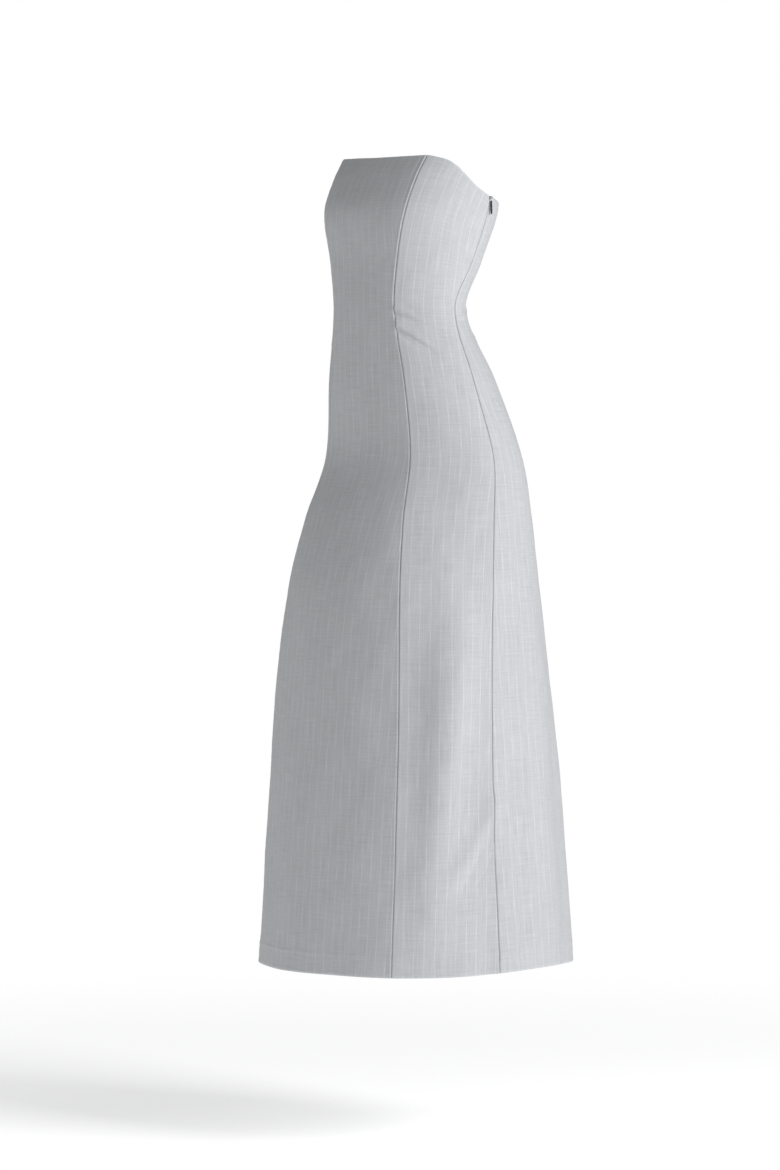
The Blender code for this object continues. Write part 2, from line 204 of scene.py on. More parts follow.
# The panels that a maker cuts, with their flat width, length and area in metres
Panel = namedtuple(
    "Panel",
    "name node first first_side last last_side columns grain dart flat_width flat_length flat_area",
)
PANELS = (
    Panel("front_panel", "front_centre", "front_seam", -1, "front_seam", 1, 60, 0.5, False,
          0.32, 1.21, 0.30),
    Panel("side_front_left_panel", "side_front_left", "front_seam", 1, "side_seam", 1, 40, 0.05, False,
          0.18, 1.22, 0.165),
    Panel("side_front_right_panel", "side_front_right", "side_seam", -1, "front_seam", -1, 40, 0.95, False,
          0.18, 1.22, 0.165),
    Panel("back_left_panel", "back_left", "side_seam", 1, "centre_back", 1, 34, 0.28, True,
          0.42, 1.14, 0.35),
    Panel("back_right_panel", "back_right", "centre_back", 1, "side_seam", -1, 34, 0.72, True,
          0.42, 1.14, 0.35),
)

# Distances from a seam at which a panel has a column of points, and from its ends at which it has a row
BESIDE_SEAM = (0.0, 0.5, 1.1, 1.9, 3.0, 5.0, 8.0)
BESIDE_DART = (0.0, 0.6, 1.3, 2.4, 4.5)
BELOW_TOP = (0.0, 0.6, 1.3, 2.2, 3.5, 5.5, 8.0, 12.0)
ABOVE_HEM = (44, 39, 35, 32.5, 31, 29.5, 28, 25, 20, 14, 9, 6, 4, 2.6, 1.5, 0.7, 0.0)
RowBand = namedtuple("RowBand", "upper lower pitch")
ROW_BANDS = (
    RowBand(TOP_EDGE - 12.0, -110.0, 4.0),
    RowBand(-110.0, -230.0, 2.5),
    RowBand(-230.0, -420.0, 5.0),
    RowBand(-420.0, HEM_HEIGHT + 44.0, 7.0),
)

# Each back panel's waist dart: where it ends, where it is widest and how much cloth it takes up
DART_TOP = -62.0
DART_WIDEST = -150.0
DART_LOW = -292.0
DART_INTAKE = 22.0


def smooth_curve(rows, key, column, places):
    """Reads one column of a table at places between its rows, on a smooth curve."""
    points = sorted((getattr(row, key), getattr(row, column)) for row in rows)
    x, y = np.array(points, dtype=float).T
    low = np.maximum(np.arange(len(x)) - 1, 0)
    high = np.minimum(np.arange(len(x)) + 1, len(x) - 1)
    slopes = (y[high] - y[low]) / (x[high] - x[low])
    places = np.clip(places, x[0], x[-1])
    index = np.clip(np.searchsorted(x, places) - 1, 0, len(x) - 2)
    span = x[index + 1] - x[index]
    u = (places - x[index]) / span
    return (
        y[index] * (1 + 2 * u) * (1 - u) ** 2
        + slopes[index] * span * u * (1 - u) ** 2
        + y[index + 1] * u * u * (3 - 2 * u)
        + slopes[index + 1] * span * u * u * (u - 1)
    )


def smooth_step(share):
    share = np.clip(share, 0.0, 1.0)
    return share * share * (3.0 - 2.0 * share)


def hump(distance, half_width):
    return np.exp(-((distance / half_width) ** 2))


def turned(angle):
    """The same angle between -180 and 180."""
    return (angle + 180.0) % 360.0 - 180.0


def ring_at(heights):
    return Ring(heights, *(smooth_curve(RINGS, "height", name, heights) for name in Ring._fields[1:]))


def panel_flatness(ring, angle):
    """How far the cloth lies inside the ellipse: nothing at a seam, most at the middle of a panel."""
    side = np.abs(turned(angle))
    front = ring.front_flat * np.cos(0.5 * np.pi * side / ring.front_seam)
    share = (side - ring.front_seam) / (ring.side_seam - ring.front_seam)
    beside = ring.side_flat * np.sin(np.pi * share)
    return np.where(side < ring.front_seam, front, np.where(side < ring.side_seam, beside, 0.0))


def fold_offset(height, angle):
    """The height of the skirt's large soft ridges and troughs."""
    total = np.zeros_like(height * angle)
    for fold in FOLDS:
        drop = np.clip((fold.start - height) / (fold.start - HEM_HEIGHT), 0.0, 1.0)
        centre = fold.start_angle + (fold.hem_angle - fold.start_angle) * drop
        grown = smooth_step((fold.start - height) / FOLD_FADE)
        height_here = fold.height + (fold.hem_height - fold.height) * drop * drop
        total += height_here * grown * hump(turned(angle - centre), fold.half_width)
    return total


def row_height(level, angle):
    """A level row bent to follow the neckline above the waist and the lifted hem below it."""
    edge = smooth_curve(NECKLINE, "angle", "height", np.abs(turned(angle)))
    share = (level - LEVEL_BELOW_NECKLINE) / (TOP_EDGE - LEVEL_BELOW_NECKLINE)
    raised = level + (edge - TOP_EDGE) * share
    share = (LEVEL_BELOW_NECKLINE - level) / (LEVEL_BELOW_NECKLINE - HEM_HEIGHT)
    rise = sum(spot.height * hump(turned(angle - spot.angle), spot.half_width) for spot in HEM_RISES)
    return np.where(level > LEVEL_BELOW_NECKLINE, raised, level + rise * share * share)


def cloth_point(level, angle):
    """Points of the cloth's outer face, in millimetres, with x, y and z along the last axis."""
    height = row_height(level, angle)
    ring = ring_at(height)
    sine, cosine = np.sin(np.radians(angle)), np.cos(np.radians(angle))
    depth = np.where(cosine > 0.0, ring.front_depth, ring.back_depth)
    across, along = sine / ring.half_width, -cosine / depth
    length = np.hypot(across, along)
    offset = fold_offset(height, angle) - panel_flatness(ring, angle)
    return np.stack(
        (
            ring.half_width * sine + across / length * offset,
            ring.centre - depth * cosine + along / length * offset,
            height + 0.0 * sine,
        ),
        axis=-1,
    )


def unit(vectors):
    return vectors / np.linalg.norm(vectors, axis=-1, keepdims=True)


def cloth_normal(level, angle):
    across = cloth_point(level, angle + 1.5) - cloth_point(level, angle - 1.5)
    down = cloth_point(level - 3.0, angle) - cloth_point(np.minimum(level + 3.0, TOP_EDGE), angle)
    return unit(np.cross(unit(down), unit(across)))


def seam_angle(levels, seam, side):
    """The angle of a seam at each level, found on the row that bends with the edge."""
    if seam == "centre_back":
        return np.full_like(levels, 180.0)
    angle = getattr(ring_at(levels), seam)
    for _ in range(3):
        angle = getattr(ring_at(row_height(levels, side * angle)), seam)
    return side * angle


def row_levels():
    """The levels of a panel's rows, close together at the top edge, round the waist and at the hem."""
    levels = [TOP_EDGE - below for below in BELOW_TOP]
    for band in ROW_BANDS:
        count = round((band.upper - band.lower) / band.pitch)
        levels += list(np.linspace(band.upper, band.lower, count + 1)[1:])
    levels += [HEM_HEIGHT + above for above in ABOVE_HEM[1:]]
    return np.array(levels, dtype=float)


def column_places(width, panel):
    """Distances from a panel's first seam along one row of it."""
    near = np.array(BESIDE_SEAM)
    if not panel.dart:
        middle = np.linspace(near[-1], width - near[-1], panel.columns + 1)[1:-1]
        return np.concatenate((near, middle, width - near[::-1]))
    dart = np.array(BESIDE_DART)
    half = 0.5 * width
    left = np.linspace(near[-1], half - dart[-1], panel.columns + 1)[1:-1]
    beside = np.concatenate((half - dart[:0:-1], half + dart))
    return np.concatenate((near, left, beside, width - left[::-1], width - near[::-1]))


def mouth_gap(levels, panel, last):
    """Half the gap between two panels. The zip's mouth opens in a small V at the top edge."""
    seam, side = (panel.last, panel.last_side) if last else (panel.first, panel.first_side)
    opened = np.zeros_like(levels)
    if seam == "side_seam" and side == 1:
        opened = np.clip((levels - ZIP_MOUTH_END) / (TOP_EDGE - ZIP_MOUTH_END), 0.0, 1.0)
    return 0.5 * (SEAM_GAP + (ZIP_MOUTH_GAP - SEAM_GAP) * opened)


def panel_grid(panel, levels):
    """Each point's angle, and its distances from the panel's first and last seam along its row."""
    start = seam_angle(levels, panel.first, panel.first_side)
    end = seam_angle(levels, panel.last, panel.last_side)
    end = np.where(end < start, end + 360.0, end)
    first_gap = mouth_gap(levels, panel, False)
    last_gap = mouth_gap(levels, panel, True)
    angles, from_first, from_last = [], [], []
    for row, level in enumerate(levels):
        sampled = np.linspace(start[row], end[row], 181)
        points = cloth_point(np.full_like(sampled, level), sampled)
        steps = np.linalg.norm(np.diff(points, axis=0), axis=1)
        run = np.concatenate(((0.0,), np.cumsum(steps)))
        width = run[-1] - first_gap[row] - last_gap[row]
        places = column_places(width, panel)
        angles.append(np.interp(places + first_gap[row], run, sampled))
        from_first.append(places)
        from_last.append(width - places)
    return np.array(angles), np.array(from_first), np.array(from_last)


def crease_offset(level, angle):
    """The small creases, as soft troughs and ridges along short lines."""
    total = np.zeros_like(angle)
    for crease in CREASES:
        ring = ring_at(np.array(float(crease.level)))
        reach = math.radians(0.5 * (ring.half_width + 0.5 * (ring.front_depth + ring.back_depth)))
        run = turned(crease.end_angle - crease.angle) * reach
        fall = crease.end_level - crease.level
        x = turned(angle - crease.angle) * reach
        y = level - crease.level
        share = (x * run + y * fall) / (run * run + fall * fall)
        held = np.clip(share, 0.0, 1.0)
        away = np.hypot(x - held * run, y - held * fall)
        faded = smooth_step((1.0 - share) / CREASE_FADE)
        if not crease.anchored:
            faded = faded * smooth_step(share / CREASE_FADE)
        total += crease.height * faded * hump(away, crease.half_width)
    return total


def wave_offset(level, angle):
    """The slow unevenness of cloth that hangs free below the hips, and a little of it above them."""
    free = 0.25 + 0.75 * smooth_step((WAVES_START - level) / (WAVES_START - WAVES_FULL))
    total = np.zeros_like(angle)
    for wave in WAVES:
        total += wave.height * np.sin(np.radians(angle) * wave.turns + level * wave.drift * 6.0 + wave.phase)
    return total * free


def seam_profile(away, level, proud, phase):
    """The cloth beside a seam: it rolls down into the groove, behind a pressed edge with small puckers."""
    roll = -0.8 * hump(away, 1.0)
    edge = proud * hump(away - 2.1, 1.5)
    allowance = 0.16 * hump(away - 12.0, 1.8)
    pucker = np.sin(level * 0.55 + phase) + 0.7 * np.sin(level * 0.31 + 2.3 * phase)
    pucker = pucker + 0.5 * np.sin(level * 0.19)
    pucker = 0.16 * pucker * np.exp(-away / 6.0) * (1.0 - hump(away, 1.5))
    return roll + edge + allowance + pucker


def seam_edge_height(panel, level):
    """The front panel's pressed edge stands proud of the side front's, most in the bodice."""
    if panel.node != "front_centre":
        return 0.18
    return 0.32 + 0.42 * smooth_step((level + 190.0) / 90.0)


def dart_depth(level):
    """How far a waist dart is closed at each level, from nothing at its points to one at the waist."""
    above = (level - DART_WIDEST) / (DART_TOP - DART_WIDEST)
    below = (DART_WIDEST - level) / (DART_WIDEST - DART_LOW)
    return np.clip(1.0 - np.maximum(above, below), 0.0, 1.0)


def edge_profile(level, angle):
    """The rolled top edge, the line where the hem is turned up and the hem's own fold."""
    below = TOP_EDGE - level
    above = level - HEM_HEIGHT
    top = -0.75 * hump(below, 1.1) + 0.3 * hump(below - 3.2, 2.2)
    hem = -0.6 * hump(above, 1.2) + 0.2 * hump(above - 3.0, 2.0)
    line = 0.5 + 0.5 * np.sin(np.radians(angle) * 71.0) * np.sin(np.radians(angle) * 43.0 + 1.0)
    turn_up = (0.30 + 0.34 * line) * hump(above - HEM_TURN_UP, 2.4)
    pucker = 0.5 * np.sin(np.radians(angle) * 83.0) * np.sin(np.radians(angle) * 37.0 + 0.8)
    return top + hem + turn_up + pucker * hump(above - HEM_TURN_UP + 8.0, 14.0)


def cloth_detail(panel, level, angle, from_first, from_last):
    """How far a panel's outer face stands from the part's surface at each point."""
    proud = seam_edge_height(panel, level)
    detail = crease_offset(level, angle) + wave_offset(level, angle)
    detail += seam_profile(from_first, level, proud, 0.4) + seam_profile(from_last, level, proud, 1.9)
    detail += edge_profile(level, angle)
    if panel.dart:
        away = np.abs(from_first - 0.5 * (from_first + from_last))
        closed = dart_depth(level)
        held = np.clip(closed * 4.0, 0.0, 1.0)
        detail += held * (0.16 * hump(away - 2.6, 1.9) - 0.8 * hump(away, 1.0))
        for point in (DART_TOP, DART_LOW):
            detail += 0.8 * hump(np.hypot(away, level - point), 9.0)
    return detail


def wall_depth(level, from_first, from_last, thickness, allowance):
    """How far the inner face lies behind the outer one: seams, top edge and hem are doubled."""
    nearest = np.minimum(from_first, from_last)
    doubled = smooth_step((allowance - nearest) / 1.5)
    doubled = np.maximum(doubled, smooth_step((level - TOP_EDGE + TOP_TURN_IN) / 1.5))
    turned_up = smooth_step((HEM_HEIGHT + HEM_TURN_UP - level) / 1.5)
    depth = thickness + EXTRA_LAYER * np.maximum(doubled, turned_up)
    depth = depth - 0.5 * hump(TOP_EDGE - level, 1.4) - 0.4 * hump(level - HEM_HEIGHT, 1.6)
    return depth


def flat_places(panel, points, level, from_first, from_last):
    """Where each point lies in the flat cut, in metres: across from the grain line, and up the cloth."""
    width = from_first + from_last
    across = from_first - panel.grain * width
    if panel.dart:
        beyond = 1.0 if panel.grain < 0.5 else -1.0
        outer = beyond * (from_first - 0.5 * width)
        across = across + beyond * DART_INTAKE * dart_depth(level) * smooth_step(outer / 0.8 + 0.5)
    middle = points.shape[1] // 2
    steps = np.linalg.norm(np.diff(points[:, middle], axis=0), axis=1)
    fallen = np.concatenate(((0.0,), np.cumsum(steps)))
    return np.stack((across * MM, -fallen[:, None] * MM + 0.0 * across), axis=-1)


def shell_faces(rows, columns):
    """Faces of a closed shell: an outer grid, an inner grid behind it and four rims between them."""
    index = np.arange(rows * columns).reshape(rows, columns)
    inner = index + rows * columns
    a, b = index[:-1, :-1], index[:-1, 1:]
    d, c = index[1:, :-1], index[1:, 1:]
    outer_faces = np.stack((a, d, c, b), axis=-1).reshape(-1, 4)
    inner_faces = outer_faces[:, ::-1] + rows * columns
    top = np.stack((index[0, :-1], index[0, 1:], inner[0, 1:], inner[0, :-1]), axis=-1)
    low = np.stack((index[-1, 1:], index[-1, :-1], inner[-1, :-1], inner[-1, 1:]), axis=-1)
    first = np.stack((index[:-1, 0], inner[:-1, 0], inner[1:, 0], index[1:, 0]), axis=-1)
    last = np.stack((index[1:, -1], inner[1:, -1], inner[:-1, -1], index[:-1, -1]), axis=-1)
    return np.concatenate((outer_faces, inner_faces, top, low, first, last))


def mesh_from_arrays(name, points, faces):
    mesh = bpy.data.meshes.new(name)
    mesh.vertices.add(len(points))
    mesh.vertices.foreach_set("co", points.astype(np.float32).ravel())
    mesh.loops.add(faces.size)
    mesh.loops.foreach_set("vertex_index", faces.astype(np.int32).ravel())
    mesh.polygons.add(len(faces))
    mesh.polygons.foreach_set("loop_start", np.arange(0, faces.size, 4, dtype=np.int32))
    mesh.update(calc_edges=True)
    mesh.validate()
    return mesh


def add_cloth_maps(mesh, flat, groove, pressed):
    """Stores the flat cut as the UV map, and two masks of painted light: painted shade in the seam and dart
    grooves, and a painted highlight on the pressed seam edges, the top edge and the hem's fold.
    """
    corners = np.zeros(len(mesh.loops), dtype=np.int32)
    mesh.loops.foreach_get("vertex_index", corners)
    flat_both = np.concatenate((flat.reshape(-1, 2), flat.reshape(-1, 2)))
    uv = mesh.uv_layers.new(name="flat_cut")
    uv.data.foreach_set("uv", flat_both[corners].astype(np.float32).ravel())
    for name, values in (("groove", groove), ("pressed", pressed)):
        both = np.concatenate((values.ravel(), 0.0 * values.ravel()))
        mesh.attributes.new(name, "FLOAT", "POINT").data.foreach_set("value", both.astype(np.float32))


def build_panel(panel, settings, material):
    """One cloth panel as a closed thin shell, in the place of its node of the part."""
    levels = row_levels()
    angle, from_first, from_last = panel_grid(panel, levels)
    level = levels[:, None] + 0.0 * angle
    points = cloth_point(level, angle)
    normal = cloth_normal(level, angle)
    detail = cloth_detail(panel, level, angle, from_first, from_last)
    depth = wall_depth(level, from_first, from_last, settings.thickness / MM, settings.allowance / MM)
    outer = points + normal * detail[..., None]
    followed = np.maximum(detail, -0.4)
    inner = points + normal * (followed - depth)[..., None]
    nearest = np.minimum(from_first, from_last)
    # Mask of painted shade: 1 in the seam grooves and, where a dart is closed, down its groove.
    groove = hump(nearest, 0.8)
    if panel.dart:
        away = np.abs(from_first - 0.5 * (from_first + from_last))
        groove = np.maximum(groove, hump(away, 1.1) * np.clip(dart_depth(level) * 4.0, 0.0, 1.0))
    # Mask of painted highlight: a light line on the seam edge that stands proud, strongest on the front
    # panel's bodice, and along the top edge and the hem's fold.
    proud = seam_edge_height(panel, level)
    pressed = hump(nearest - 2.0, 1.1) * (proud + 0.0 * nearest) / 0.74
    pressed = np.maximum(pressed, hump(TOP_EDGE - level - 1.2, 1.3))
    pressed = np.maximum(pressed, 0.6 * hump(level - HEM_HEIGHT - 1.2, 1.3))
    both = np.concatenate((outer.reshape(-1, 3), inner.reshape(-1, 3))) * MM
    mesh = mesh_from_arrays(panel.name, both, shell_faces(*angle.shape))
    add_cloth_maps(mesh, flat_places(panel, points, level, from_first, from_last), groove, pressed)
    mesh.materials.append(material)
    mesh.shade_smooth()
    mesh.set_sharp_from_angle(angle=math.radians(50))
    item = bpy.data.objects.new(panel.name, mesh)
    bpy.context.scene.collection.objects.link(item)
    return item


def add_node(tree, kind, **settings):
    node = tree.nodes.new(kind)
    for name, value in settings.items():
        setattr(node, name, value)
    return node


def feed(tree, socket, value):
    """Links a socket to another node's output, or sets its value."""
    if isinstance(value, bpy.types.NodeSocket):
        tree.links.new(value, socket)
    else:
        socket.default_value = value


def worked(tree, operation, *values):
    node = add_node(tree, "ShaderNodeMath", operation=operation)
    for socket, value in zip(node.inputs, values):
        feed(tree, socket, value)
    return node.outputs[0]


def ranged(tree, value, low, high, to_low, to_high, kind="LINEAR"):
    node = add_node(tree, "ShaderNodeMapRange", interpolation_type=kind)
    for name, number in (("From Min", low), ("From Max", high), ("To Min", to_low), ("To Max", to_high)):
        node.inputs[name].default_value = number
    feed(tree, node.inputs["Value"], value)
    return node.outputs["Result"]


def noise(tree, vector, stretch, detail=2.0, roughness=0.5):
    """Noise with its own size along each axis, given as cells for each metre."""
    mapping = add_node(tree, "ShaderNodeMapping")
    mapping.inputs["Scale"].default_value = stretch
    tree.links.new(vector, mapping.inputs["Vector"])
    texture = add_node(tree, "ShaderNodeTexNoise")
    texture.inputs["Scale"].default_value = 1.0
    texture.inputs["Detail"].default_value = detail
    texture.inputs["Roughness"].default_value = roughness
    tree.links.new(mapping.outputs["Vector"], texture.inputs["Vector"])
    return texture.outputs["Fac"]


def mixed_colour(tree, share, first, second):
    node = add_node(tree, "ShaderNodeMix", data_type="RGBA")
    feed(tree, node.inputs[0], share)
    feed(tree, node.inputs[6], first)
    feed(tree, node.inputs[7], second)
    return node.outputs[2]


def scaled_colour(tree, colour, share):
    """A colour made lighter or darker by a factor."""
    node = add_node(tree, "ShaderNodeVectorMath", operation="SCALE")
    feed(tree, node.inputs[0], colour)
    feed(tree, node.inputs["Scale"], share)
    return node.outputs[0]


def new_material(name):
    material = bpy.data.materials.new(name)
    material.use_nodes = True
    tree = material.node_tree
    return material, tree, tree.nodes["Principled BSDF"]


def suiting_material(settings):
    """Light grey melange suiting with slubs both ways and fine, broken pale pinstripes, laid out flat, with
    painted shade in the seam and dart grooves and a painted highlight on the pressed edges.
    """
    material, tree, shader = new_material("pinstriped_suiting")
    flat = add_node(tree, "ShaderNodeUVMap", uv_map="flat_cut").outputs["UV"]
    parts = add_node(tree, "ShaderNodeSeparateXYZ")
    tree.links.new(flat, parts.inputs[0])
    across = worked(tree, "DIVIDE", parts.outputs["X"], settings.stripe_pitch)
    away = worked(tree, "ABSOLUTE", worked(tree, "SUBTRACT", worked(tree, "FRACT", across), 0.5))
    half = 0.5 * settings.stripe_width / settings.stripe_pitch
    stripe = ranged(tree, away, half * 0.6, half * 1.7, 1.0, 0.0, "SMOOTHSTEP")
    broken = ranged(tree, noise(tree, flat, (90.0, 420.0, 1.0)), 0.36, 0.6, 0.35, 1.0)
    stripe = worked(tree, "MULTIPLY", stripe, broken)
    warp = noise(tree, flat, (640.0, 26.0, 1.0), 3.0)
    weft = noise(tree, flat, (24.0, 620.0, 1.0), 3.0)
    cloudy = noise(tree, flat, (9.0, 7.0, 1.0), 2.0)
    upright_slubs = ranged(tree, warp, 0.3, 0.7, -0.07, 0.07)
    level_slubs = ranged(tree, weft, 0.3, 0.7, -0.06, 0.06)
    tone = worked(tree, "ADD", upright_slubs, level_slubs)
    tone = worked(tree, "ADD", tone, ranged(tree, cloudy, 0.3, 0.7, 0.985, 1.015))
    groove = add_node(tree, "ShaderNodeAttribute", attribute_name="groove").outputs["Fac"]
    pressed = add_node(tree, "ShaderNodeAttribute", attribute_name="pressed").outputs["Fac"]
    # Painted shade: the colour falls to 0.7 of itself in the seam and dart grooves.
    tone = worked(tree, "MULTIPLY", tone, ranged(tree, groove, 0.0, 1.0, 1.0, 0.7))
    # Painted highlight: the colour rises to 1.12 of itself on the proud seam edges, the top edge and the
    # hem.
    tone = worked(tree, "MULTIPLY", tone, ranged(tree, pressed, 0.0, 1.0, 1.0, 1.12))
    striped = mixed_colour(tree, worked(tree, "MULTIPLY", stripe, settings.stripe_strength),
                           (*settings.ground, 1.0), (*settings.stripe, 1.0))
    tree.links.new(scaled_colour(tree, striped, tone), shader.inputs["Base Color"])
    shader.inputs["Roughness"].default_value = 0.78
    shader.inputs["Specular IOR Level"].default_value = 0.28
    shader.inputs["Sheen Weight"].default_value = 0.1
    shader.inputs["Sheen Roughness"].default_value = 0.45
    shader.inputs["Sheen Tint"].default_value = (0.93, 0.94, 0.96, 1.0)
    weave = worked(tree, "ADD", warp, weft)
    fine = noise(tree, flat, (1500.0, 1500.0, 1.0), 1.0)
    bump = add_node(tree, "ShaderNodeBump")
    bump.inputs["Strength"].default_value = 0.35
    bump.inputs["Distance"].default_value = 0.00025
    tree.links.new(worked(tree, "ADD", weave, worked(tree, "MULTIPLY", fine, 0.7)), bump.inputs["Height"])
    tree.links.new(bump.outputs["Normal"], shader.inputs["Normal"])
    return material


def tape_material(settings):
    """Matt woven tape, ribbed across."""
    material, tree, shader = new_material("woven_zip_tape")
    place = add_node(tree, "ShaderNodeTexCoord").outputs["Object"]
    ribs = noise(tree, place, (60.0, 60.0, 1700.0), 1.0)
    threads = noise(tree, place, (900.0, 900.0, 120.0), 2.0)
    rib_tone = ranged(tree, ribs, 0.3, 0.7, 0.88, 1.08)
    thread_tone = ranged(tree, threads, 0.3, 0.7, -0.05, 0.05)
    tone = worked(tree, "ADD", rib_tone, thread_tone)
    tree.links.new(scaled_colour(tree, (*settings.tape_colour,), tone), shader.inputs["Base Color"])
    shader.inputs["Roughness"].default_value = 0.85
    shader.inputs["Specular IOR Level"].default_value = 0.25
    bump = add_node(tree, "ShaderNodeBump")
    bump.inputs["Strength"].default_value = 0.4
    bump.inputs["Distance"].default_value = 0.0002
    tree.links.new(worked(tree, "ADD", ribs, threads), bump.inputs["Height"])
    tree.links.new(bump.outputs["Normal"], shader.inputs["Normal"])
    return material


def coil_material(settings):
    """Smooth nylon of the coil's teeth, a little darker than the tape."""
    material, tree, shader = new_material("nylon_coil")
    place = add_node(tree, "ShaderNodeTexCoord").outputs["Object"]
    tone = ranged(tree, noise(tree, place, (400.0, 400.0, 400.0)), 0.3, 0.7, 0.78, 0.92)
    tree.links.new(scaled_colour(tree, (*settings.tape_colour,), tone), shader.inputs["Base Color"])
    shader.inputs["Roughness"].default_value = 0.42
    return material


def enamel_material(settings):
    """Dark gunmetal enamel, slightly uneven and a little worn."""
    material, tree, shader = new_material("gunmetal_enamel")
    place = add_node(tree, "ShaderNodeTexCoord").outputs["Object"]
    worn = noise(tree, place, (900.0, 900.0, 900.0), 3.0)
    tone = ranged(tree, worn, 0.35, 0.75, 0.85, 1.5)
    tree.links.new(scaled_colour(tree, (*settings.metal_colour,), tone), shader.inputs["Base Color"])
    tree.links.new(ranged(tree, worn, 0.3, 0.7, 0.28, 0.44), shader.inputs["Roughness"])
    shader.inputs["Metallic"].default_value = 0.15
    return material


def zip_place(tilted):
    """The place of the pull's hinge pin: X runs out of the cloth, Y round the figure and Z up."""
    level = np.array([TOP_EDGE - SLIDER_BELOW_TOP])
    angle = seam_angle(level, "side_seam", 1)
    point = Vector(cloth_point(level, angle)[0])
    normal = Vector(cloth_normal(level, angle)[0])
    turn = Matrix.Rotation(math.atan2(normal.y, normal.x), 4, "Z")
    tilt = Matrix.Rotation(math.asin(-normal.z) if tilted else 0.0, 4, "Y")
    return Matrix.Translation((point + normal * LUG_REACH) * MM) @ turn @ tilt


def deselect_all():
    if bpy.context.mode != "OBJECT":
        bpy.ops.object.mode_set(mode="OBJECT")
    bpy.ops.object.select_all(action="DESELECT")


def add_block(name, low, high):
    """A cube between two corners in millimetres, ready to be shaped."""
    deselect_all()
    centre = [0.5 * (a + b) * MM for a, b in zip(low, high)]
    size = [(b - a) * MM for a, b in zip(low, high)]
    bpy.ops.mesh.primitive_cube_add(size=1.0, location=centre, scale=size)
    item = bpy.context.object
    item.name = name
    bpy.ops.object.transform_apply(location=True, rotation=True, scale=True)
    return item


def select_where(item, kind, test):
    """Enters edit mode with the faces or points selected for which a test holds, in millimetres."""
    if bpy.context.mode != "OBJECT":
        bpy.ops.object.mode_set(mode="OBJECT")
    mesh = item.data
    for group in (mesh.vertices, mesh.edges, mesh.polygons):
        group.foreach_set("select", [False] * len(group))
    if kind == "FACE":
        for face in mesh.polygons:
            face.select = test(face.center / MM, face.normal)
    else:
        for vert in mesh.vertices:
            vert.select = test(vert.co / MM)
    bpy.ops.object.mode_set(mode="EDIT")
    bpy.ops.mesh.select_mode(type=kind)


def cut_across(item, heights):
    """Cuts the block right across at each height, in millimetres."""
    for height in heights:
        select_where(item, "VERT", lambda place: True)
        bpy.ops.mesh.bisect(plane_co=(0.0, 0.0, height * MM), plane_no=(0.0, 0.0, 1.0))


def widen_at(item, height, factor):
    """Scales the points at one height across the block."""
    select_where(item, "VERT", lambda place: abs(place.z - height) < 0.02)
    bpy.ops.transform.resize(value=(1.0, factor, 1.0), center_override=(0.0, 0.0, height * MM))


def finish_hard(item, width, matrix, material):
    """Rounds the edges, sets the piece in its place on the zip and gives it its finish."""
    bpy.ops.object.mode_set(mode="OBJECT")
    bevel = item.modifiers.new("rounded", "BEVEL")
    bevel.width = width * MM
    bevel.segments = 3
    bevel.limit_method = "ANGLE"
    bevel.angle_limit = math.radians(28)
    bpy.context.view_layer.objects.active = item
    bpy.ops.object.modifier_apply(modifier="rounded")
    item.matrix_world = matrix
    deselect_all()
    item.select_set(True)
    bpy.context.view_layer.objects.active = item
    bpy.ops.object.transform_apply(location=True, rotation=True, scale=True)
    bpy.ops.object.shade_smooth_by_angle(angle=math.radians(35))
    item.data.materials.clear()
    item.data.materials.append(material)


def shape_pull(material):
    """A slim tab with a window at its top, a waist, a shallow recess on each face and a tapered end."""
    item = add_block("zip_pull_tab", (-0.45, -1.8, -24.55), (0.45, 1.8, 0.45))
    cut_across(item, (-5.65, -7.4, -9.6, -20.6, -23.2))
    for height, factor in ((-7.4, 0.72), (-9.6, 0.86), (-20.6, 1.17), (-23.2, 1.1), (-24.55, 0.66)):
        widen_at(item, height, factor)
    select_where(item, "FACE", lambda place, normal: abs(normal.x) > 0.9 and place.z > -5.6)
    bpy.ops.mesh.inset(thickness=0.8 * MM, use_even_offset=True)
    bpy.ops.mesh.bridge_edge_loops()
    select_where(item, "FACE", lambda place, normal: abs(normal.x) > 0.9 and -20.6 < place.z < -9.6)
    bpy.ops.mesh.inset(thickness=0.55 * MM, depth=0.0, use_even_offset=True, use_individual=True)
    bpy.ops.mesh.inset(thickness=0.25 * MM, depth=-0.16 * MM, use_even_offset=True, use_individual=True)
    finish_hard(item, 0.16, zip_place(tilted=False), material)
    return item


